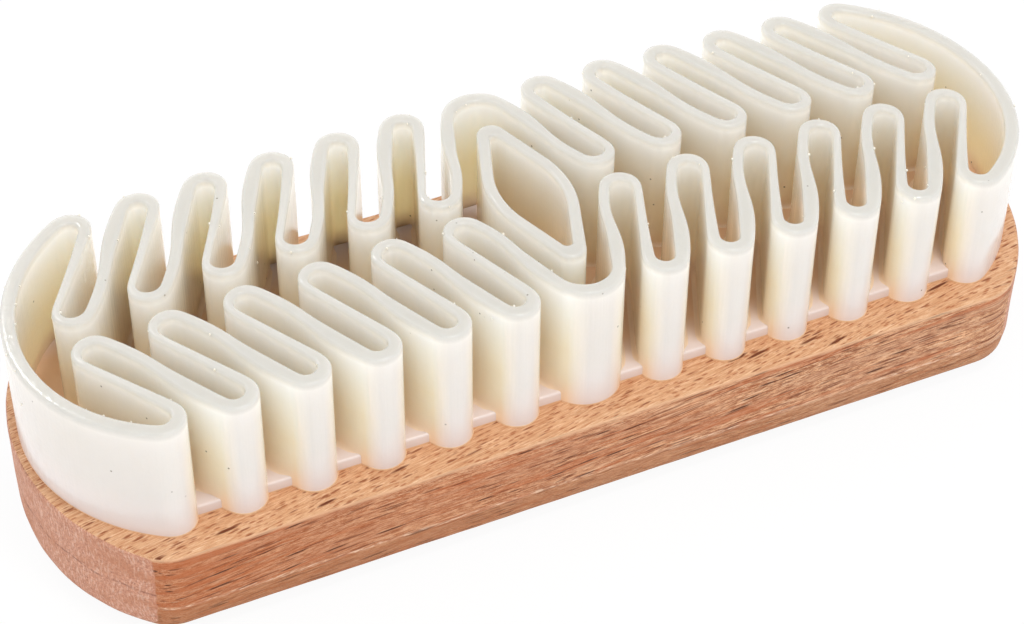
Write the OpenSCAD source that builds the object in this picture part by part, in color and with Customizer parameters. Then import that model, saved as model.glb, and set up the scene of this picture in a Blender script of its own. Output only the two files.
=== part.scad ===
// Suede brush: one serpentine wall of crepe rubber glued on a beech back.
// All sizes are in mm. The brush lies rubber side up, +Z up, its length along X.
// The origin is the middle of the flat rest face under the beech back.

/* [Beech back] */
// Length over the two bowed ends
back_l = 140; // [139:1:170]
// Width across the straight sides
back_w = 48.8; // [46:0.2:60]
// Thickness
back_t = 15; // [11:0.5:20]
// Plan radius of each bowed end
end_bow_r = 32.5; // [31:0.5:50]
// Plan radius of the four corners
corner_r = 6.5; // [6:0.5:12]
// Radius of the cutter that rounded the lower edges
edge_r = 5; // [1:0.5:6]

/* [Rubber moulding] */
// Length over the two end arcs
rubber_l = 137.8; // [128:0.2:139]
// Width over the outer folds
rubber_w = 42.5; // [40:0.1:44]
// Height from the glue to the middle of the rim
rubber_h = 19; // [12:0.5:24]
// Plan radius of each end arc, outer face
end_arc_r = 24.3; // [23.2:0.1:26]
// Thickness of the end arcs
end_arc_t = 1.9; // [1.4:0.1:2.4]
// Radius of the gentle crown ground into the rim
crown_r = 940; // [500:20:3000]
// Thickness of the base web
web_t = 1.4; // [0.8:0.1:2.5]
// Width of the base web
web_w = 37.8; // [30:0.2:38.2]

/* [Folds] */
// Folds between the middle of the brush and each end
folds = 6; // [4:1:7]
// Distance of the first inner fold from the middle
first_inner_x = 10.85; // [10.6:0.05:11.4]
// Distance of the last inner fold from the end of the rubber
end_pocket = 9.55; // [8.8:0.05:10.4]
// Distance of the first outer fold from the middle
first_outer_x = 10.15; // [9.8:0.05:10.8]
// Clear gap of the aisle between the two rows
aisle = 2.2; // [1.4:0.1:3]
// Outside radius of an inner fold
inner_r = 2.8; // [2.5:0.05:3]
// Radius of the pocket inside an inner fold
inner_pocket_r = 1.6; // [1.3:0.05:1.7]
// Outside radius of an outer fold
outer_r = 3; // [2.7:0.05:3.2]
// Radius of the pocket inside an outer fold
outer_pocket_r = 1.3; // [1.1:0.05:1.6]
// Outside radius of the wide middle fold
middle_r = 5; // [4.4:0.1:5.6]
// Radius of the pocket inside the wide middle fold
middle_pocket_r = 3.6; // [3:0.1:4]
// Rubber at the tip of an inner fold
inner_tip_t = 1.6; // [1.2:0.1:2.2]
// Rubber at the tip of an outer fold
outer_tip_t = 2; // [1.4:0.1:2.6]
// How far the walls beside an outer pocket sway sideways
wall_sway = 0.4; // [0:0.05:0.6]
// How much thinner the far walls are half way along
wall_pinch = 0.15; // [0:0.05:0.3]

/* [Middle leaf] */
// Width of the leaf-shaped loop
leaf_w = 10.8; // [9.4:0.1:11.2]
// Length of the leaf, across the brush
leaf_l = 28.2; // [24:0.2:29]
// Radius of the two long sides
leaf_side_r = 15.5; // [12:0.5:20]
// Radius of the two tips
leaf_tip_r = 1.95; // [1.6:0.05:2.2]
// Thickness of the leaf's wall half way along
leaf_t = 1.55; // [1.1:0.05:2]
// Rubber at each tip of the leaf
leaf_tip_t = 2.4; // [1.6:0.1:2.8]

/* [Glue] */
// Thickness of the glue film
glue_t = 0.2; // [0.1:0.05:0.5]

/* [Hidden] */
beech = [0.8, 0.58, 0.38];
amber = [0.72, 0.52, 0.25];
crepe = [0.93, 0.9, 0.83];
$fn = 96;
// Facets of a half turn, of a wall and of an end arc
turn_steps = 11;
wall_steps = 7;
arc_steps = 18;
leaf_steps = 10;
// Segments of the large circle that grinds the crown
crown_fn = 720;
// Overlap of solids that are joined or cut
lap = 1;
// Centres of the bowed ends and of the corners that touch them from inside
bow_x = back_l / 2 - end_bow_r;
corner_y = back_w / 2 - corner_r;
corner_x = bow_x + sqrt(pow(end_bow_r - corner_r, 2) - corner_y * corner_y);
end_centre_x = rubber_l / 2 - end_arc_r;
last_inner_x = rubber_l / 2 - end_pocket;
inner_pitch = (last_inner_x - first_inner_x) / (folds - 1);
rim_y = rubber_w / 2;
glue_z = back_t + glue_t;
// Radius at the two tips of the hollow in the leaf
leaf_pocket_tip_r = 0.7;

function spot(c, r, a) = c + r * [cos(a), sin(a)];

// Centre of a circle that touches an end arc from inside at height y.
function cap_centre(arc_r, r, y) = [end_centre_x + sqrt(pow(arc_r - r, 2) - y * y), y];

// Far end of the row of outer folds, and the pitch that fills it.
last_outer_x = cap_centre(end_arc_r, outer_r, rim_y - outer_r)[0];
outer_pitch = (last_outer_x - first_outer_x) / (folds - 1);

// A turn is [centre, radius, way]: way -1 runs clockwise, 1 anticlockwise.
// The outside path runs over the outer folds and through the outer pockets.
function outside_turns() = [
    for (i = [0 : 2 * folds])
        i == 0 ? [[0, rim_y - middle_r], middle_r, -1]
        : i % 2 == 1 ? [[first_inner_x + (i - 1) / 2 * inner_pitch,
                         aisle / 2 + inner_tip_t + inner_pocket_r], inner_pocket_r, 1]
        : i < 2 * folds ? [[first_outer_x + (i / 2 - 1) * outer_pitch, rim_y - outer_r], outer_r, -1]
        : [cap_centre(end_arc_r, outer_r, rim_y - outer_r), outer_r, -1]];

// The inside path runs round the inner folds and through the inner pockets.
function inside_turns() = [
    for (i = [0 : 2 * folds])
        i == 0 ? [[0, rim_y - outer_tip_t - middle_pocket_r], middle_pocket_r, -1]
        : i % 2 == 1 ? [[first_inner_x + (i - 1) / 2 * inner_pitch, aisle / 2 + inner_r], inner_r, 1]
        : i < 2 * folds ? [[first_outer_x + (i / 2 - 1) * outer_pitch,
                            rim_y - outer_tip_t - outer_pocket_r], outer_pocket_r, -1]
        : [cap_centre(end_arc_r - end_arc_t, outer_pocket_r, rim_y - outer_tip_t - outer_pocket_r),
           outer_pocket_r, -1]];

// Heading of the straight leg that touches two turns that run opposite ways.
function heading(a, b) = atan2(b[0][1] - a[0][1], b[0][0] - a[0][0])
    + a[2] * asin((a[1] + b[1]) / norm(b[0] - a[0]));

// Angles at which the path meets and leaves turn i.
function meets(turns, i) = i == 0 ? 90 : heading(turns[i - 1], turns[i]) - 90 * turns[i][2];
function leaves(turns, i) = i == len(turns) - 1
    ? atan2(turns[i][0][1], turns[i][0][0] - end_centre_x)
    : heading(turns[i], turns[i + 1]) - 90 * turns[i][2];

function turn_points(turns, i) = [
    for (k = [0 : turn_steps])
        spot(turns[i][0], turns[i][1],
             meets(turns, i) + (leaves(turns, i) - meets(turns, i)) * k / turn_steps)];

// Sideways shift of a wall at share s of its run towards turn i.
function sway(s, way, inside) = way > 0
    ? wall_sway * (inside ? min(0, sin(360 * s)) : sin(360 * s))
    : (inside ? -wall_pinch * sin(180 * s) : 0);

function wall_points(turns, i, inside) =
    let (a = spot(turns[i - 1][0], turns[i - 1][1], leaves(turns, i - 1)),
         b = spot(turns[i][0], turns[i][1], meets(turns, i)))
    [for (k = [1 : wall_steps - 1])
        let (s = k / wall_steps) a + (b - a) * s + [sway(s, turns[i][2], inside), 0]];

function end_points(turns, arc_r) =
    let (a = leaves(turns, len(turns) - 1))
    [for (k = [1 : arc_steps]) spot([end_centre_x, 0], arc_r, a * (1 - k / arc_steps))];

// One quarter of a path, from the middle of the back row to the tip of the end arc.
function quarter(turns, arc_r, inside) = concat(
    [for (i = [0 : len(turns) - 1])
        each concat(i > 0 ? wall_points(turns, i, inside) : [], turn_points(turns, i))],
    end_points(turns, arc_r));

function backwards(p) = [for (i = [len(p) - 1 : -1 : 0]) p[i]];
function flip(p, sx, sy) = [for (q = p) [q[0] * sx, q[1] * sy]];
function without_first(p) = [for (i = [1 : len(p) - 1]) p[i]];
function without_ends(p) = [for (i = [1 : len(p) - 2]) p[i]];

// The four quarters joined into one closed loop.
function closed(q) = concat(q, without_first(backwards(flip(q, 1, -1))),
    without_first(flip(q, -1, -1)), without_ends(backwards(flip(q, -1, 1))));

// One quarter of a leaf: a side arc about the long axis, then a tip arc.
function leaf_quarter(w, l, side_r, tip_r) =
    let (side_c = [w / 2 - side_r, 0], tip_c = [0, l / 2 - tip_r], d = tip_c - side_c,
         a = atan2(d[1], d[0]) - acos((side_r - tip_r) / norm(d)))
    concat([for (k = [0 : leaf_steps]) spot(side_c, side_r, a * k / leaf_steps)],
           [for (k = [0 : leaf_steps]) spot(tip_c, tip_r, a + (90 - a) * k / leaf_steps)]);

function leaf_loop(w, l, side_r, tip_r) =
    let (q = leaf_quarter(w, l, side_r, tip_r))
    concat(q, without_first(backwards(flip(q, -1, 1))),
        without_first(flip(q, -1, -1)), without_ends(backwards(flip(q, 1, -1))));

// A closed band between an outside loop and an inside loop.
module band(outside, inside) {
    n = len(outside);
    m = len(inside);
    polygon(concat(outside, inside), paths = [[for (i = [0 : n - 1]) i], [for (i = [0 : m - 1]) n + i]]);
}

// Plan of the base web: straight sides, ends buried in the end arcs.
module web_plan() {
    intersection() {
        square([rubber_l, web_w], center = true);
        union() {
            square([2 * end_centre_x, web_w + lap], center = true);
            for (side = [-1, 1])
                translate([side * end_centre_x, 0])
                    circle(end_arc_r - end_arc_t / 2);
        }
    }
}

// Half section of the block from an upright axis out, its lower edge rounded.
module edge_profile(reach) {
    difference() {
        square([reach, back_t]);
        translate([reach - edge_r, 0])
            difference() {
                translate([0, -lap])
                    square(edge_r + lap);
                translate([0, edge_r])
                    circle(edge_r);
            }
    }
}

module beech_back() {
    bow_angle = atan2(corner_y, corner_x - bow_x);
    color(beech) {
        rotate([90, 0, 90])
            linear_extrude(2 * corner_x, center = true) {
                edge_profile(back_w / 2);
                mirror([1, 0])
                    edge_profile(back_w / 2);
            }
        for (side = [0, 180])
            rotate([0, 0, side]) {
                translate([bow_x, 0, 0])
                    rotate([0, 0, -bow_angle])
                        rotate_extrude(angle = 2 * bow_angle)
                            edge_profile(end_bow_r);
                for (y = [-corner_y, corner_y])
                    translate([corner_x, y, 0])
                        rotate_extrude()
                            edge_profile(corner_r);
            }
    }
}

module glue_film() {
    color(amber)
    translate([0, 0, back_t]) {
        linear_extrude(glue_t)
            polygon(closed(quarter(outside_turns(), end_arc_r, false)));
        linear_extrude(glue_t)
            web_plan();
    }
}

module crepe_moulding() {
    color(crepe)
    translate([0, 0, glue_z]) {
        linear_extrude(web_t)
            web_plan();
        intersection() {
            linear_extrude(rubber_h) {
                band(closed(quarter(outside_turns(), end_arc_r, false)),
                     closed(quarter(inside_turns(), end_arc_r - end_arc_t, true)));
                band(leaf_loop(leaf_w, leaf_l, leaf_side_r, leaf_tip_r),
                     leaf_loop(leaf_w - 2 * leaf_t, leaf_l - 2 * leaf_tip_t,
                               leaf_side_r - leaf_t, leaf_pocket_tip_r));
            }
            translate([0, 0, rubber_h - crown_r])
                rotate([90, 0, 0])
                    cylinder(h = rubber_w + 2 * lap, r = crown_r, center = true, $fn = crown_fn);
        }
    }
}

beech_back();
glue_film();
crepe_moulding();
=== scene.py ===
import math

import bpy
import numpy as np
from mathutils import Matrix, Vector, noise


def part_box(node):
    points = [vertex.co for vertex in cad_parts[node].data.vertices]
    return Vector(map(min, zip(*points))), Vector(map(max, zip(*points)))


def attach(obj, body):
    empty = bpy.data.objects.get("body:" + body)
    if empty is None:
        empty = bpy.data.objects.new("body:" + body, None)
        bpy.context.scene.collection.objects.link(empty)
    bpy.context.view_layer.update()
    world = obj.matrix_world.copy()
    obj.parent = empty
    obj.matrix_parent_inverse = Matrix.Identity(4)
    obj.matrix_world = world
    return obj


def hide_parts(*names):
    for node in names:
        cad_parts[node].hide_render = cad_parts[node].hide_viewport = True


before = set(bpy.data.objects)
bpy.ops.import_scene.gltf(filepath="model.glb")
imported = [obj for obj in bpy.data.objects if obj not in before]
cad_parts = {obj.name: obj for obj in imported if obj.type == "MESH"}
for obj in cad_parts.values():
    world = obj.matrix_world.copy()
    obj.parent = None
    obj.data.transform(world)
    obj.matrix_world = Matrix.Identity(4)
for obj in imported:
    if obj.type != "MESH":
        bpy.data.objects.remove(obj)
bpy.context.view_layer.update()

# Beech back.
# A block of flat-sawn steamed beech, its bowed ends and plan corners shaped on a disc sander. A
# cutter bevels and rounds its lower edges and leaves a crease. It is bare, its arris just broken.
MM = 0.001  # sizes are in mm and brought to metres with this; only the lamps and clips are in metres
back_half_l, back_half_w, back_t = np.array(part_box("beech_back")[1]) / MM
end_bow_r = 32.5
corner_r = 6.5
edge_r = 4.5
bevel = math.radians(9)
crease_z = 6.0
end_edge_share = 0.6  # the lower edge is tighter round the tips of the ends
arris_break = 0.35
saw_ripple, saw_ripple_length = 0.07, 3.5
saw_slant = 0.6  # below 1, the ripple runs longer up the side than along it
saw_depth = 0.6  # share of the ripple that lies inside the block's outline
edge_support = 0.25  # a ring this far in keeps the flat faces flat when they are shaded smooth
rounding_steps = 15
side_rows = 11
block_sharp = 40  # degrees
bow_x = back_half_l - end_bow_r
corner_y = back_half_w - corner_r
corner_x = bow_x + math.sqrt((end_bow_r - corner_r) ** 2 - corner_y ** 2)
bow_angle = math.degrees(math.atan2(corner_y, corner_x - bow_x))


def mesh_object(name, vertices, faces, sharp_degrees):
    """A mesh object from points in mm, smooth apart from edges sharper than the given angle."""
    mesh = bpy.data.meshes.new(name)
    mesh.from_pydata([tuple(v) for v in np.asarray(vertices) * MM], [], faces)
    mesh.shade_smooth()
    mesh.set_sharp_from_angle(angle=math.radians(sharp_degrees))
    obj = bpy.data.objects.new(name, mesh)
    bpy.context.scene.collection.objects.link(obj)
    return obj


def spot(centre, radius, degrees):
    """Points on a circle."""
    a = np.radians(degrees)
    return np.asarray(centre) + radius * np.stack([np.cos(a), np.sin(a)], -1)


def block_outline(inset):
    """The block's plan drawn in by inset, anticlockwise: corner, bowed end, corner and side, twice."""
    end = np.concatenate([
        spot([corner_x, -corner_y], corner_r - inset, np.linspace(-90, -bow_angle, 25)),
        spot([bow_x, 0], end_bow_r - inset, np.linspace(-bow_angle, bow_angle, 91)[1:-1]),
        spot([corner_x, corner_y], corner_r - inset, np.linspace(bow_angle, 90, 25))])
    side_x = np.linspace(corner_x, -corner_x, 240)[1:-1]
    side = np.stack([side_x, np.full(len(side_x), back_half_w - inset)], 1)
    return np.concatenate([end, side, -end, -side])


def rounding(radius, steps):
    """(inset, height) of a quarter round from its foot, inset by the radius, to its top, not inset."""
    angles = np.linspace(0, math.pi / 2, steps + 1)
    return [(radius * (1 - math.sin(a)), radius * (1 - math.cos(a))) for a in angles]


def skin(rows, ring, closed_up=False):
    """Quads between stacked rings of points, with flat ends unless the rows close up on themselves."""
    count = rows if closed_up else rows - 1
    faces = [(k * ring + i, k * ring + (i + 1) % ring,
              (k + 1) % rows * ring + (i + 1) % ring, (k + 1) % rows * ring + i)
             for k in range(count) for i in range(ring)]
    if not closed_up:
        faces += [tuple(reversed(range(ring))), tuple(range((rows - 1) * ring, rows * ring))]
    return faces


bevel_foot_z = edge_r * (1 - math.sin(bevel))
round_centre = edge_r * math.cos(bevel) + (crease_z - bevel_foot_z) * math.tan(bevel)
levels = [(round_centre + edge_support, 0)]
levels += [(round_centre - edge_r * math.cos(a), edge_r * (1 - math.sin(a)))
           for a in np.linspace(math.pi / 2, bevel, rounding_steps + 1)]
levels += [(0, z) for z in np.linspace(crease_z, back_t - arris_break - edge_support, side_rows)]
levels += [(inset, back_t - z) for inset, z in rounding(arris_break, 3)[::-1]]
levels += [(arris_break + edge_support, back_t)]
plan = block_outline(0)
on_bow = np.clip((abs(plan[:, 0]) - corner_x) / (back_half_l - corner_x), 0, 1)
tighter = 1 - (1 - end_edge_share) * on_bow ** 2 * (3 - 2 * on_bow)
block_points = []
for inset, z in levels:
    share = tighter if z <= crease_z else np.ones(len(plan))
    drop = (1 - tighter) * np.clip((back_t - z) / (back_t - crease_z), 0, 1) * crease_z
    heights = np.where(z <= crease_z, z * tighter, z - drop)
    for (x, y), z in zip(plan + (block_outline(inset) - plan) * share[:, None], heights):
        push = saw_ripple * (noise.noise(Vector((x, y, saw_slant * z)) / saw_ripple_length) - saw_depth)
        outward = np.array([x, y]) / math.hypot(x, y)
        block_points.append([x + outward[0] * push, y + outward[1] * push, z])
beech_back = mesh_object("beech_block", block_points, skin(len(levels), len(plan)), block_sharp)
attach(beech_back, "root")
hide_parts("beech_back")

# Bare sanded beech: dull and warm. Ray flecks show as short dark dashes on the flat-sawn top and
# as long streaks on the sides, and the ends are pinker, finely speckled and ruled by growth lines.
grain_skew = math.radians(10)
grain_rise = math.radians(3.5)
grain_wander = 2.5
wander_length, wander_width = 30.0, 12.0
growth_spacing = 3.6
nick_reach = 0.4
lens_taper = 0.55  # a mark is full over this share of its size and fades towards its edge


def linear(hex_colour):
    """An sRGB hex colour as linear RGBA."""
    channels = [int(hex_colour[i:i + 2], 16) / 255 for i in (1, 3, 5)]
    rgb = (c / 12.92 if c <= 0.04045 else ((c + 0.055) / 1.055) ** 2.4 for c in channels)
    return (*rgb, 1.0)


def add(tree, kind, inputs, out=0, **settings):
    """Adds a shader node with its settings and links, and gives back one of its outputs."""
    node = tree.nodes.new("ShaderNode" + kind)
    for name, value in settings.items():
        setattr(node, name, value)
    for key, value in inputs.items():
        if isinstance(value, bpy.types.NodeSocket):
            tree.links.new(value, node.inputs[key])
        else:
            node.inputs[key].default_value = value
    return node.outputs[out]


beech = bpy.data.materials.new("sanded_bare_beech")
beech.use_nodes = True
tree = beech.node_tree
shader = tree.nodes["Principled BSDF"]
shader.inputs["IOR"].default_value = 1.5
shader.inputs["Specular IOR Level"].default_value = 0.3
shader.inputs["Roughness"].default_value = 0.6
place = add(tree, "TexCoord", {}, "Object")
in_mm = add(tree, "VectorMath", {0: place, 1: [1 / MM] * 3}, operation="MULTIPLY")
along, _, height = add(tree, "SeparateXYZ", {0: in_mm}).node.outputs
facing = add(tree, "SeparateXYZ", {0: place.node.outputs["Normal"]}).node.outputs

# The grain runs a little askew and wanders from straight.
grain = add(tree, "Mapping", {"Vector": place, "Rotation": (0.0, grain_rise, -grain_skew),
                              "Scale": [1 / MM] * 3})
wander = add(tree, "VectorMath", {0: grain, 1: (1 / wander_length, 1 / wander_width, 1 / wander_width)},
             operation="MULTIPLY")
wander = add(tree, "TexNoise", {"Vector": wander, "Detail": 1.0, "Scale": 1.0}, "Color")
grain = add(tree, "VectorMath", {0: wander, 1: (0.0, grain_wander, grain_wander), 2: grain},
            operation="MULTIPLY_ADD")

# Soft patterns, as cell sizes in mm along, across and through the grain, detail and roughness.
# Real beech fibres are 0.02 mm wide; they are drawn about ten times as coarse, so that they show.
soft = {}
for name, cell, detail, roughness in (
        ("ragged", (2.0, 1.2, 1.2), 2.0, 0.5),
        ("fibres", (5.0, 0.3, 0.3), 4.0, 0.8),
        ("side_fibres", (14.0, 0.6, 0.3), 5.0, 0.8),
        ("hairs", (4.0, 0.2, 0.2), 3.0, 0.8),
        ("bands", (70.0, 6.0, 1.6), 3.0, 0.5),
        ("stripes", (45.0, 5.0, 0.9), 5.0, 0.65),
        ("patches", (12.0, 5.0, 2.5), 3.0, 0.5),
        ("torn", (1.6, 0.5, 0.25), 2.0, 0.5),
        ("speckle", (0.5, 0.3, 0.3), 3.0, 0.7),
        ("ticks", (0.4, 0.26, 1.1), 2.0, 0.6)):
    cells = add(tree, "VectorMath", {0: grain, 1: [1 / side for side in cell]}, operation="MULTIPLY")
    soft[name] = add(tree, "TexNoise", {"Vector": cells, "Scale": 1.0, "Detail": detail,
                                        "Roughness": roughness})

# Ray flecks, pores and slits: lens-shaped marks, of which each cell holds one or none. Cell sizes in
# mm, size of the mark as a share of its cell, and share of the cells left empty.
marks = {}
for name, cell, size, empty in (
        ("small_dash", (1.7, 0.42, 0.42), 0.36, 0.05),
        ("long_dash", (3.6, 0.6, 0.6), 0.3, 0.3),
        ("large_slit", (10.0, 1.1, 1.1), 0.23, 0.6),
        ("side_streak", (26.0, 1.6, 0.8), 0.22, 0.1),
        ("thin_streak", (16.0, 1.2, 0.45), 0.34, 0.1),
        ("pale_streak", (11.0, 1.0, 0.5), 0.32, 0.2)):
    cells = add(tree, "VectorMath", {0: grain, 1: [1 / side for side in cell]}, operation="MULTIPLY")
    nearest = add(tree, "TexVoronoi", {"Vector": cells, "Scale": 1.0})
    lens = add(tree, "MapRange", {0: nearest, 1: size, 2: size * lens_taper})
    lot = add(tree, "SeparateColor", {0: nearest.node.outputs["Color"]})
    filled = add(tree, "MapRange", {0: lot, 1: empty, 2: empty + 0.1})
    marks[name] = add(tree, "Math", {0: lens, 1: filled}, operation="MULTIPLY")

# Torn nicks catch the light along the crease.
off_crease = add(tree, "Math", {0: height, 1: crease_z}, operation="SUBTRACT")
off_crease = add(tree, "Math", {0: off_crease}, operation="ABSOLUTE")
nicks = add(tree, "MapRange", {0: soft["torn"], 1: 0.5, 2: 0.62, 3: 1 / 6})
on_crease = add(tree, "MapRange", {0: off_crease, 1: nick_reach, 2: 0.0})
nicks = add(tree, "Math", {0: nicks, 1: on_crease}, operation="MULTIPLY")

# Growth lines on the ends: a thin late-wood line between each two years.
year = add(tree, "VectorMath", {0: grain, 1: (0.0, 0.0, 1 / growth_spacing)}, "Value",
           operation="DOT_PRODUCT")
year = add(tree, "Math", {0: soft["patches"], 1: 0.5, 2: year}, operation="MULTIPLY_ADD")
year = add(tree, "Math", {0: year, 1: 1.0}, operation="PINGPONG")
growth_line = add(tree, "MapRange", {0: year, 1: 0.07, 2: 0.03})
unbroken = add(tree, "MapRange", {0: soft["ragged"], 1: 0.35, 2: 0.6})
growth_line = add(tree, "Math", {0: growth_line, 1: unbroken}, operation="MULTIPLY")

# Each face is built up from a ground colour in layers: pattern, its value where the layer starts
# and where it is full, the layer's strength there, and its colour.
faces_of_wood = {}
for face, ground, light, dark, layers in (
        ("top", add(tree, "MapRange", {0: soft["fibres"], 1: 0.34, 2: 0.66}), "#e9bd94", "#c4875c", (
            (soft["hairs"], 0.52, 0.62, 0.3, "#b4744a"),
            (soft["hairs"], 0.46, 0.36, 0.4, "#ffe0bd"),
            (marks["small_dash"], 0.0, 1.0, 0.75, "#a55e35"),
            (marks["long_dash"], 0.0, 1.0, 0.85, "#8a4a28"))),
        ("side", add(tree, "MapRange", {0: soft["side_fibres"], 1: 0.4, 2: 0.6}), "#eab58a", "#9c5c35", (
            (soft["hairs"], 0.52, 0.6, 0.65, "#85492a"),
            (soft["hairs"], 0.48, 0.36, 0.5, "#fbd6b2"),
            (marks["pale_streak"], 0.0, 1.0, 0.5, "#f5cfab"),
            (soft["bands"], 0.42, 0.6, 0.4, "#bd8a6b"),
            (soft["stripes"], 0.5, 0.6, 0.55, "#b8602e"),
            (along, 30.0, -66.0, 0.55, "#b05a26"),
            (marks["thin_streak"], 0.0, 1.0, 0.75, "#6d3415"),
            (marks["side_streak"], 0.0, 1.0, 0.9, "#55260c"),
            (height, crease_z, crease_z - 0.5, 0.45, "#ad754c"),
            (nicks, 0.0, 1.0, 1.0, "#efcdb0"),
            # A painted highlight: the side is paler just under the arris, where the broken edge catches the
            # light.
            (height, back_t - 0.8, back_t - 0.3, 0.6, "#f3c8a0"))),
        ("end", add(tree, "MapRange", {0: soft["speckle"], 1: 0.3, 2: 0.7}), "#e0a78a", "#ad7059", (
            (soft["ticks"], 0.5, 0.64, 0.4, "#f8d8c4"),
            (soft["patches"], 0.5, 0.7, 0.5, "#b5714a"),
            (growth_line, 0.0, 1.0, 0.7, "#86503c")))):
    colour = add(tree, "Mix", {0: ground, 6: linear(light), 7: linear(dark)}, 2, data_type="RGBA")
    for pattern, start, full, strength, tint in layers:
        share = add(tree, "MapRange", {0: pattern, 1: start, 2: full, 4: strength})
        colour = add(tree, "Mix", {0: share, 6: colour, 7: linear(tint)}, 2, data_type="RGBA")
    faces_of_wood[face] = colour

on_top = add(tree, "MapRange", {0: facing[2], 1: 0.5, 2: 0.65})
end_facing = add(tree, "Math", {0: facing[0]}, operation="ABSOLUTE")
end_facing = add(tree, "Math", {0: soft["ragged"], 1: 0.08, 2: end_facing}, operation="MULTIPLY_ADD")
on_end = add(tree, "MapRange", {0: end_facing, 1: 0.61, 2: 0.64})
wood = add(tree, "Mix", {0: on_top, 6: faces_of_wood["side"], 7: faces_of_wood["top"]}, 2, data_type="RGBA")
wood = add(tree, "Mix", {0: on_end, 6: wood, 7: faces_of_wood["end"]}, 2, data_type="RGBA")
slit = add(tree, "Math", {0: marks["large_slit"], 1: on_top}, operation="MULTIPLY")
off_end = add(tree, "MapRange", {0: on_end, 3: 1.0, 4: 0.1})
slit = add(tree, "Math", {0: slit, 1: off_end}, operation="MULTIPLY")
wood = add(tree, "Mix", {0: slit, 6: wood, 7: linear("#74391c")}, 2, data_type="RGBA")
tree.links.new(wood, shader.inputs["Base Color"])
relief = soft["hairs"]
for pattern, rise in ((marks["large_slit"], -1.5), (marks["side_streak"], -1.0), (soft["speckle"], 0.6)):
    relief = add(tree, "Math", {0: pattern, 1: rise, 2: relief}, operation="MULTIPLY_ADD")
dent = add(tree, "Bump", {"Height": relief, "Strength": 0.8, "Distance": 0.15 * MM})
tree.links.new(dent, shader.inputs["Normal"])
beech_back.data.materials.append(beech)

# Glue film.
# Contact glue rolled on both faces and pressed together, dried to a thin amber layer that shows
# only as a hairline round the foot of the rubber.
glue_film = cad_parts["glue_film"]
glue_blotches_per_mm = 0.7
contact_glue = bpy.data.materials.new("dried_contact_glue")
contact_glue.use_nodes = True
tree = contact_glue.node_tree
shader = tree.nodes["Principled BSDF"]
place = add(tree, "TexCoord", {}, "Object")
blotches = add(tree, "TexNoise", {"Vector": place, "Scale": glue_blotches_per_mm / MM, "Detail": 3.0})
amber = add(tree, "Mix", {0: blotches, 6: linear("#efd0ac"), 7: linear("#dfb588")}, 2, data_type="RGBA")
tree.links.new(amber, shader.inputs["Base Color"])
shader.inputs["Roughness"].default_value = 0.4
shader.inputs["IOR"].default_value = 1.5
glue_film.data.materials.clear()
glue_film.data.materials.append(contact_glue)

# Crepe rubber moulding.
# One compression moulding of natural crepe rubber: a serpentine wall with a leaf-shaped loop in
# its middle, standing on a thin web. The rim is ground to a gentle crown and its edges are soft.
rubber_low, rubber_high = (np.array(corner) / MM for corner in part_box("crepe_moulding"))
rubber_half_l, rim_y, _ = rubber_high
foot_z = rubber_low[2]
rubber_h = rubber_high[2] - foot_z
rim_z = foot_z + rubber_h
end_arc_r = 24.3
end_arc_t = 1.9
end_centre = np.array([rubber_half_l - end_arc_r, 0.0])
crown_r = 940.0
web_t = 1.4
web_half_w = 18.9
folds = 6
first_inner_x = 10.85
last_inner_x = rubber_half_l - 9.55
first_outer_x = 10.15
aisle = 2.2
inner_r, inner_pocket_r, inner_tip_t = 2.8, 1.6, 1.6
outer_r, outer_pocket_r, outer_tip_t = 3.0, 1.3, 2.0
middle_r, middle_pocket_r = 5.0, 3.6
wall_sway = 0.4
wall_pinch = 0.15
leaf_w, leaf_l, leaf_side_r, leaf_tip_r = 10.8, 28.2, 15.5, 1.95
leaf_t, leaf_tip_t, leaf_pocket_tip_r = 1.55, 2.4, 0.7
rim_edge_r = 0.42
foot_fillet_r = 0.6
fillet_from_edge, fillet_fade = 0.4, 1.2  # it fades out this far inside the web's edge, over this length
turn_steps = 16
wall_steps = 16
arc_steps = 64
wall_sharp = 50  # degrees


def cap_centre(arc_r, radius, y):
    """Centre of a circle that touches an end arc from inside at height y."""
    return [end_centre[0] + math.sqrt((arc_r - radius) ** 2 - y ** 2), y]


def turns(outside):
    """The turns of a quarter path as (centre, radius, way); way -1 runs clockwise."""
    inner_x = np.linspace(first_inner_x, last_inner_x, folds)
    arc_r = end_arc_r - (0 if outside else end_arc_t)
    r_out = outer_r if outside else outer_pocket_r
    r_mid = middle_r if outside else middle_pocket_r
    r_in = inner_pocket_r if outside else inner_r
    y_tip = rim_y - (0 if outside else outer_tip_t)
    y_in = aisle / 2 + (inner_tip_t if outside else 0) + r_in
    last_outer_x = cap_centre(end_arc_r, outer_r, rim_y - outer_r)[0]
    outer_x = np.linspace(first_outer_x, last_outer_x, folds)
    path = [([0, y_tip - r_mid], r_mid, -1)]
    for k in range(folds):
        path.append(([inner_x[k], y_in], r_in, 1))
        last = k == folds - 1
        tip = cap_centre(arc_r, r_out, y_tip - r_out) if last else [outer_x[k], y_tip - r_out]
        path.append((tip, r_out, -1))
    return path


def heading(a, b):
    """Heading of the straight leg that touches two turns that run opposite ways."""
    (ax, ay), (bx, by) = a[0], b[0]
    return (math.degrees(math.atan2(by - ay, bx - ax))
            + a[2] * math.degrees(math.asin((a[1] + b[1]) / math.hypot(bx - ax, by - ay))))


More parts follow.
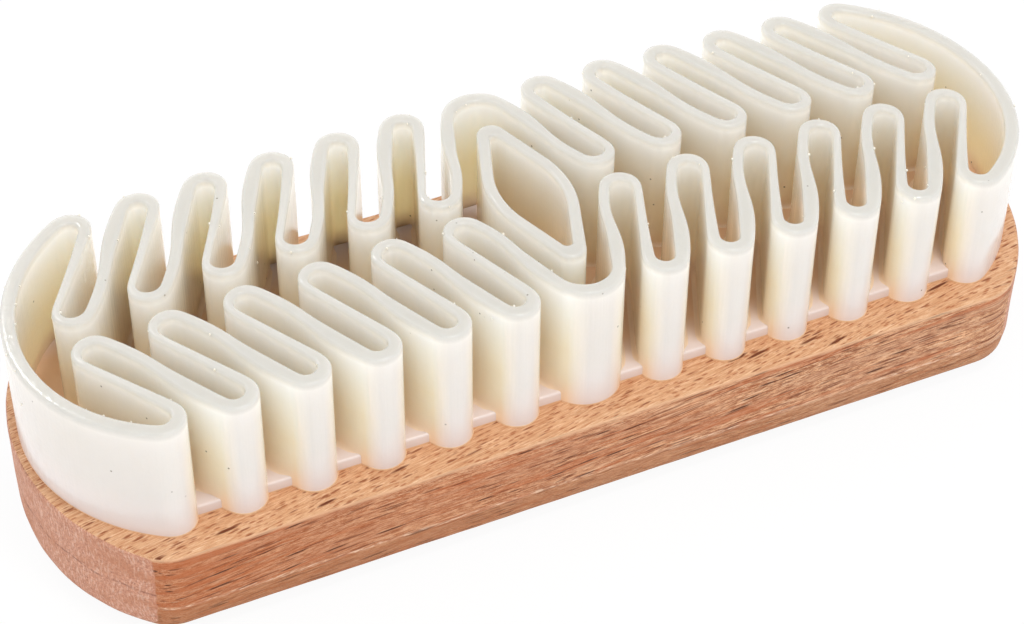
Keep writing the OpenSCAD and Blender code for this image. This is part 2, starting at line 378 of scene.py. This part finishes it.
def quarter(outside):
    """A quarter of the path, from the middle of the back row to the tip of the end arc."""
    path = turns(outside)
    arc_r = end_arc_r - (0 if outside else end_arc_t)
    points = []
    for i, (centre, radius, way) in enumerate(path):
        meets = 90 if i == 0 else heading(path[i - 1], path[i]) - 90 * way
        if i < len(path) - 1:
            leaves = heading(path[i], path[i + 1]) - 90 * way
        else:
            leaves = math.degrees(math.atan2(centre[1], centre[0] - end_centre[0]))
        turn = spot(centre, radius, np.linspace(meets, leaves, turn_steps + 1))
        if i > 0:
            s = np.linspace(0, 1, wall_steps + 1)[1:-1, None]
            if way > 0:
                swing = np.sin(2 * np.pi * s)
                shift = wall_sway * (swing if outside else np.minimum(0, swing))
            else:
                shift = 0 * s if outside else -wall_pinch * np.sin(np.pi * s)
            points.append(points[-1][-1] + (turn[0] - points[-1][-1]) * s + shift * [1, 0])
        points.append(turn)
    points.append(spot(end_centre, arc_r, np.linspace(leaves, 0, arc_steps + 1)[1:]))
    return np.concatenate(points)


def close(q, first, second, third):
    """A closed loop from one quarter and its three mirrored copies; each mirror is (x, y) signs."""
    return np.concatenate([q, (q * first)[::-1][1:], (q * second)[1:], (q * third)[::-1][1:-1]])


def soften(loop, rounds=3):
    """Takes the small kinks out of a closed loop."""
    for _ in range(rounds):
        loop = (np.roll(loop, 1, 0) + 2 * loop + np.roll(loop, -1, 0)) / 4
    return loop


def leaf_quarter(w, l, side_r, tip_r):
    """A quarter of a leaf: a side arc about the long axis, then a tip arc."""
    side_c, tip_c = np.array([w / 2 - side_r, 0]), np.array([0, l / 2 - tip_r])
    d = tip_c - side_c
    a = math.degrees(math.atan2(d[1], d[0]) - math.acos((side_r - tip_r) / math.hypot(*d)))
    return np.concatenate([spot(side_c, side_r, np.linspace(0, a, 50)),
                           spot(tip_c, tip_r, np.linspace(a, 90, 24)[1:])])


def inward(loop, toward_inside):
    """Unit normals of a loop, towards its inside or away from it."""
    d = np.roll(loop, -1, 0) - np.roll(loop, 1, 0)
    n = np.stack([-d[:, 1], d[:, 0]], 1) / np.hypot(d[:, 0], d[:, 1])[:, None]
    area = np.sum(loop[:, 0] * np.roll(loop[:, 1], -1) - np.roll(loop[:, 0], -1) * loop[:, 1])
    return n * (np.sign(area) if toward_inside else -np.sign(area))


def rim_height(x):
    """Height of the crowned rim over the foot."""
    return rubber_h - x ** 2 / (2 * crown_r)


def wall_rows(loop, normal):
    """Rows of one face of a wall, from the foot up and over its rounded rim edge. Where the wall
    stands on the web, a fillet joins them."""
    from_middle = np.hypot(np.maximum(abs(loop[:, 0]) - end_centre[0], 0), loop[:, 1])
    on_web = np.clip((web_half_w - fillet_from_edge - from_middle) / fillet_fade, 0, 1)[:, None]
    rows = [(loop - normal * foot_fillet_r * on_web, np.zeros(len(loop)))]
    for inset, z in rounding(foot_fillet_r, 4):
        rows.append((loop - normal * inset * on_web, np.full(len(loop), web_t + z)))
    fillet_top = web_t + foot_fillet_r
    for share in np.linspace(0, 1, 6)[1:-1]:
        rows.append((loop, fillet_top + (rim_height(loop[:, 0]) - rim_edge_r - fillet_top) * share))
    for a in np.linspace(0, math.pi / 2, 6):
        p = loop + normal * rim_edge_r * (1 - math.cos(a))
        rows.append((p, rim_height(p[:, 0]) - rim_edge_r * (1 - math.sin(a))))
    return [np.column_stack([p, foot_z + z]) for p, z in rows]


def wall_band(name, outside, inside):
    """A closed wall between an outside loop and an inside loop with the same count of points."""
    up = wall_rows(outside, inward(outside, True))
    down = wall_rows(inside, inward(inside, False))[::-1]
    across = []
    for share in (0.25, 0.5, 0.75):
        row = up[-1] + (down[0] - up[-1]) * share
        row[:, 2] = foot_z + rim_height(row[:, 0])
        across.append(row)
    rows = up + across + down
    return mesh_object(name, np.concatenate(rows), skin(len(rows), len(outside), closed_up=True), wall_sharp)


outer_path = soften(close(quarter(True), [1, -1], [-1, -1], [-1, 1]))
inner_path = soften(close(quarter(False), [1, -1], [-1, -1], [-1, 1]))
serpentine = wall_band("crepe_serpentine_wall", outer_path, inner_path)
leaf_mirrors = [-1, 1], [-1, -1], [1, -1]
leaf_outside = leaf_quarter(leaf_w, leaf_l, leaf_side_r, leaf_tip_r)
leaf_inside = leaf_quarter(leaf_w - 2 * leaf_t, leaf_l - 2 * leaf_tip_t,
                           leaf_side_r - leaf_t, leaf_pocket_tip_r)
leaf = wall_band("crepe_leaf_loop", close(leaf_outside, *leaf_mirrors), close(leaf_inside, *leaf_mirrors))

# Crumbs of rubber and flash nibs, left along the rim's edges and down the folds by the grinding.
random = np.random.default_rng(7)
crumb_count = 110
crumb_reach = 8  # the lowest ones hang this far down a fold
crumb_smallest, crumb_largest, crumb_drawn_out = 0.07, 0.19, 1.3
crumb_rings, crumb_corners = 4, 6
crumb_on_edge = 0.6  # share of them that cling to the rim's edge
crumb_sharp = 80  # degrees
crumb_points, crumb_faces = [], []
for k in range(crumb_count):
    loop = (outer_path, inner_path)[k % 2]
    x, y = loop[random.integers(len(loop))]
    on_edge = random.random() < crumb_on_edge
    z = foot_z + rim_height(x) - (rim_edge_r * 0.5 if on_edge else random.uniform(0, crumb_reach))
    size = random.uniform(crumb_smallest, crumb_largest)
    for tilt in np.linspace(0, math.pi, crumb_rings + 2)[1:-1]:
        corners = np.arange(0, 360, 360 / crumb_corners) + random.uniform(0, 40)
        ring = spot([x, y], size * math.sin(tilt), corners)
        crumb_points += [[u, v, z - size * crumb_drawn_out * math.cos(tilt)] for u, v in ring]
    first = k * crumb_rings * crumb_corners
    crumb_faces += [tuple(first + i for i in face) for face in skin(crumb_rings, crumb_corners)]
crumbs = mesh_object("crepe_crumbs", crumb_points, crumb_faces, crumb_sharp)

# Moulded natural crepe: cream, translucent and satin. Light and shade are painted into its colour: the
# thin rim is painted a cool pale grey, the pockets are painted paler and warm, with painted shade deep
# down, and the foot of the outer faces gets a painted pinkish glow from the wood. Soft bands of light
# run down the folds. Specks of bark are left in it.
crepe = bpy.data.materials.new("moulded_crepe_rubber")
crepe.use_nodes = True
tree = crepe.node_tree
shader = tree.nodes["Principled BSDF"]
shader.inputs["Subsurface Radius"].default_value = (1.0, 0.92, 0.84)
shader.inputs["Subsurface Scale"].default_value = 5.0 * MM
shader.inputs["Roughness"].default_value = 0.17
shader.inputs["IOR"].default_value = 1.52
place = add(tree, "TexCoord", {}, "Object")
in_mm = add(tree, "VectorMath", {0: place, 1: [1 / MM] * 3}, operation="MULTIPLY")
at_x, _, at_z = add(tree, "SeparateXYZ", {0: in_mm}).node.outputs

# Distance from the middle line as far as the end arcs' centres, then from those, with the arcs
# brought in line with the outer faces of the folds. It tells pockets from outer faces.
folded = add(tree, "VectorMath", {0: in_mm}, operation="ABSOLUTE")
past_end = add(tree, "VectorMath", {0: folded, 1: (end_centre[0], 0.0, 0.0)}, operation="SUBTRACT")
past_end = add(tree, "VectorMath", {0: past_end, 1: (0.0, 0.0, 0.0)}, operation="MAXIMUM")
past_end = add(tree, "VectorMath", {0: past_end, 1: (1.0, 1.0, 0.0)}, operation="MULTIPLY")
off_middle = add(tree, "VectorMath", {0: past_end}, "Value", operation="LENGTH")
off_middle = add(tree, "Math", {0: off_middle, 1: end_arc_r - rim_y}, operation="SUBTRACT")
aside = add(tree, "SeparateXYZ", {0: folded}, 1)
off_middle = add(tree, "Math", {0: off_middle, 1: aside}, operation="MAXIMUM")
pocket_from, pocket_full = 21.0, 19.5
face_from, face_full = 19.5, 20.7
inside = add(tree, "MapRange", {0: off_middle, 1: pocket_from, 2: pocket_full})
outside = add(tree, "MapRange", {0: off_middle, 1: face_from, 2: face_full})
x_squared = add(tree, "Math", {0: at_x, 1: at_x}, operation="MULTIPLY")
rim_level = add(tree, "Math", {0: x_squared, 1: 1 / (2 * crown_r), 2: at_z}, operation="MULTIPLY_ADD")

soft = {}
for name, cell in (("cloud", (9.0, 9.0, 9.0)),
                   ("mould_lines", (0.8, 0.8, 16.0)),
                   ("grit", (0.7, 0.7, 0.7))):
    cells = add(tree, "VectorMath", {0: in_mm, 1: [1 / side for side in cell]}, operation="MULTIPLY")
    soft[name] = add(tree, "TexNoise", {"Vector": cells, "Scale": 1.0, "Detail": 2.0})
bark_cell, bark_size = 2.8, 0.06
cells = add(tree, "VectorMath", {0: in_mm, 1: [1 / bark_cell] * 3}, operation="MULTIPLY")
nearest = add(tree, "TexVoronoi", {"Vector": cells, "Scale": 1.0})
bark = add(tree, "MapRange", {0: nearest, 1: bark_size, 2: bark_size * lens_taper})
lot = add(tree, "SeparateColor", {0: nearest.node.outputs["Color"]})
some_cells = add(tree, "MapRange", {0: lot, 1: 0.5, 2: 0.6})

# Layers over the ground colour: pattern, its value where the layer starts and where it is full, the
# layer's strength there, where on the rubber it counts, and its colour.
cream = add(tree, "Mix", {0: soft["cloud"], 6: linear("#e2deda"), 7: linear("#ddd9d3")}, 2, data_type="RGBA")
for pattern, start, full, strength, where, tint in (
        # Painted light and shade in the pockets: paler than the outer faces, a painted warm glow deeper
        # down, and painted shade, tan, towards their floors.
        (inside, 0.0, 1.0, 1.0, 1.0, "#fffaee"),
        (rim_level, rim_z - 1.0, foot_z + 9.0, 1.0, inside, "#ffe9cd"),
        (at_z, foot_z + 6.0, foot_z + 0.5, 0.4, inside, "#f2d3ae"),
        # Painted shade on the rim: a cool grey that holds the rim down against the light from above.
        (rim_level, rim_z - 1.1, rim_z - 0.1, 0.95, 1.0, "#bbbab5"),
        # A painted pinkish glow, as of light bounced from the wood, on the foot of the outer faces.
        (at_z, foot_z + 7.0, foot_z, 0.6, outside, "#f2e4e3"),
        (bark, 0.0, 1.0, 0.8, some_cells, "#6a6358")):
    share = add(tree, "MapRange", {0: pattern, 1: start, 2: full, 4: strength})
    share = add(tree, "Math", {0: share, 1: where}, operation="MULTIPLY")
    cream = add(tree, "Mix", {0: share, 6: cream, 7: linear(tint)}, 2, data_type="RGBA")
tree.links.new(cream, shader.inputs["Base Color"])
uneven = add(tree, "Math", {0: soft["grit"], 1: 0.6, 2: soft["mould_lines"]}, operation="MULTIPLY_ADD")
dent = add(tree, "Bump", {"Height": uneven, "Strength": 0.5, "Distance": 0.08 * MM})
tree.links.new(dent, shader.inputs["Normal"])

# At the foot, light that enters the rubber is lost into the block and leaves a dark outline, which
# the photograph doesn't show, so the scattering fades out there.
see_into = add(tree, "MapRange", {0: at_z, 1: foot_z + 1.0, 2: foot_z + 4.0})
tree.links.new(see_into, shader.inputs["Subsurface Weight"])

# The web is thin enough that the wood shows through it, and light and shade are painted into its
# colour: pinkish where light reaches it, painted shade in brown in the pockets.
web_arc_r = end_arc_r - end_arc_t / 2
web_corner = math.degrees(math.asin(web_half_w / web_arc_r))
web_end = spot(end_centre, web_arc_r, np.linspace(-web_corner, web_corner, 60))
web_plan = np.concatenate([web_end, -web_end])
web_edge_r = 0.3
web_inward = inward(web_plan, True)
web_rows = [np.column_stack([web_plan + web_inward * inset, np.full(len(web_plan), foot_z + web_t - z)])
            for inset, z in [(0, web_t)] + rounding(web_edge_r, 4)[::-1]]
web = mesh_object("crepe_web", np.concatenate(web_rows), skin(len(web_rows), len(web_plan)), wall_sharp)
web_cloud = 5.0
crepe_on_wood = bpy.data.materials.new("moulded_crepe_rubber_over_beech")
crepe_on_wood.use_nodes = True
tree = crepe_on_wood.node_tree
shader = tree.nodes["Principled BSDF"]
shader.inputs["Roughness"].default_value = 0.3
shader.inputs["IOR"].default_value = 1.52
place = add(tree, "TexCoord", {}, "Object")
in_mm = add(tree, "VectorMath", {0: place, 1: [1 / MM] * 3}, operation="MULTIPLY")
aside = add(tree, "SeparateXYZ", {0: add(tree, "VectorMath", {0: in_mm}, operation="ABSOLUTE")}, 1)
cloud = add(tree, "TexNoise", {"Vector": in_mm, "Scale": 1 / web_cloud, "Detail": 3.0})
wood_through_and_painted_light = add(tree, "Mix", {0: cloud, 6: linear("#f2d3b0"), 7: linear("#e6bd94")}, 2, data_type="RGBA")
# Painted light: pale pinkish away from the pockets, with painted shade in brown inside them.
lit = add(tree, "MapRange", {0: aside, 1: 13.0, 2: 18.0})
wood_through_and_painted_light = add(tree, "Mix", {0: lit, 6: wood_through_and_painted_light, 7: linear("#e6dad6")}, 2, data_type="RGBA")
tree.links.new(wood_through_and_painted_light, shader.inputs["Base Color"])

# Torn crumbs are rough and opaque, so they show as bright points.
crepe_crumb = bpy.data.materials.new("torn_crepe_crumb")
crepe_crumb.use_nodes = True
tree = crepe_crumb.node_tree
shader = tree.nodes["Principled BSDF"]
shader.inputs["Roughness"].default_value = 0.5
place = add(tree, "TexCoord", {}, "Object")
mottle_size = 0.3
mottle = add(tree, "TexNoise", {"Vector": place, "Scale": 1 / (mottle_size * MM), "Detail": 1.0})
torn_white = add(tree, "Mix", {0: mottle, 6: linear("#fffdf6"), 7: linear("#efe6d2")}, 2, data_type="RGBA")
tree.links.new(torn_white, shader.inputs["Base Color"])
for piece, finish in ((serpentine, crepe), (leaf, crepe), (crumbs, crepe_crumb), (web, crepe_on_wood)):
    piece.data.materials.append(finish)
    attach(piece, "root")
    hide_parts("crepe_moulding")

# Studio.
# A white floor that keeps a faint shadow, an almost even dome that is brightest in front and to the
# left, and two small soft boxes, overhead and behind, that draw fine lights along the rim.
floor_half = 1500.0
floor_gap = 0.05
floor_corners = np.array([[-1, -1, 0], [1, -1, 0], [1, 1, 0], [-1, 1, 0]]) * floor_half
floor = mesh_object("studio_floor", floor_corners - [0, 0, floor_gap], [(0, 1, 2, 3)], 30)
paper = bpy.data.materials.new("white_paper_sweep")
paper.use_nodes = True
tree = paper.node_tree
shader = tree.nodes["Principled BSDF"]
shader.inputs["Base Color"].default_value = linear("#f6f6f6")
shader.inputs["Roughness"].default_value = 0.9
white_to_camera = 0.93  # the rest keeps the shadow
white = add(tree, "Emission", {"Color": linear("#ffffff"), "Strength": 1.0})
ray = add(tree, "LightPath", {}, "Is Camera Ray")
seen = add(tree, "Math", {0: ray, 1: white_to_camera}, operation="MULTIPLY")
bleached = add(tree, "MixShader", {0: seen, 1: shader.outputs[0], 2: white})
tree.links.new(bleached, tree.nodes["Material Output"].inputs["Surface"])
floor.data.materials.append(paper)

world = bpy.data.worlds.new("studio_dome")
bpy.context.scene.world = world
world.use_nodes = True
tree = world.node_tree
dome = tree.nodes["Background"]
dome.inputs["Color"].default_value = linear("#ffffff")
bright_side = Vector((-0.35, -0.7, 0.6)).normalized()
dim, bright = 0.94, 1.02
sky = add(tree, "TexCoord", {}, "Generated")
toward = add(tree, "VectorMath", {0: sky, 1: bright_side}, "Value", operation="DOT_PRODUCT")
dome_light = add(tree, "MapRange", {0: toward, 1: 0.0, 2: 0.9, 3: dim, 4: bright})

# Seen directly, in a reflection or through something, the dome is plain white.
ray = add(tree, "LightPath", {}, "Is Camera Ray")
seen = add(tree, "Math", {0: ray, 1: ray.node.outputs["Is Glossy Ray"]}, operation="MAXIMUM")
seen = add(tree, "Math", {0: seen, 1: ray.node.outputs["Is Transmission Ray"]}, operation="MAXIMUM")
tree.links.new(add(tree, "MapRange", {0: seen, 3: dome_light, 4: 1.0}), dome.inputs["Strength"])

# The soft boxes, both turned to the brush, with places and sizes in metres.
for name, place, size, watts in (("overhead_soft_box", (0.05, -0.15, 0.65), (0.09, 0.09), 1.2),
                                 ("back_strip", (-0.14, 0.46, 0.50), (0.12, 0.05), 0.5)):
    lamp = bpy.data.lights.new(name, "AREA")
    lamp.shape = "RECTANGLE"
    lamp.size, lamp.size_y = size
    lamp.energy = watts
    box = bpy.data.objects.new(name, lamp)
    box.location = place
    box.rotation_euler = (-Vector(place)).to_track_quat("-Z", "Y").to_euler()
    bpy.context.scene.collection.objects.link(box)

# Camera.
# The photograph's view: a short telephoto lens about 30 cm from the brush.
azimuth, elevation, roll = (math.radians(a) for a in (-24.58, 42.90, 0.37))
distance = 315.95
aim = Vector((-11.63, -20.08, rim_z)) * MM
back = Vector((math.sin(azimuth) * math.cos(elevation), -math.cos(azimuth) * math.cos(elevation),
               math.sin(elevation)))
right = (-back).cross(Vector((0, 0, 1))).normalized()
up = right.cross(-back)
right, up = right * math.cos(roll) + up * math.sin(roll), up * math.cos(roll) - right * math.sin(roll)
lens = bpy.data.cameras.new("camera")
lens.sensor_width = 36.0
lens.lens = 92.06
lens.clip_start, lens.clip_end = 0.01, 10.0
camera = bpy.data.objects.new("camera", lens)
turned = Matrix((right, up, back)).transposed().to_4x4()
camera.matrix_world = Matrix.Translation(aim + back * distance * MM) @ turned
bpy.context.scene.collection.objects.link(camera)
bpy.context.scene.camera = camera
bpy.context.scene.view_settings.view_transform = "Standard"
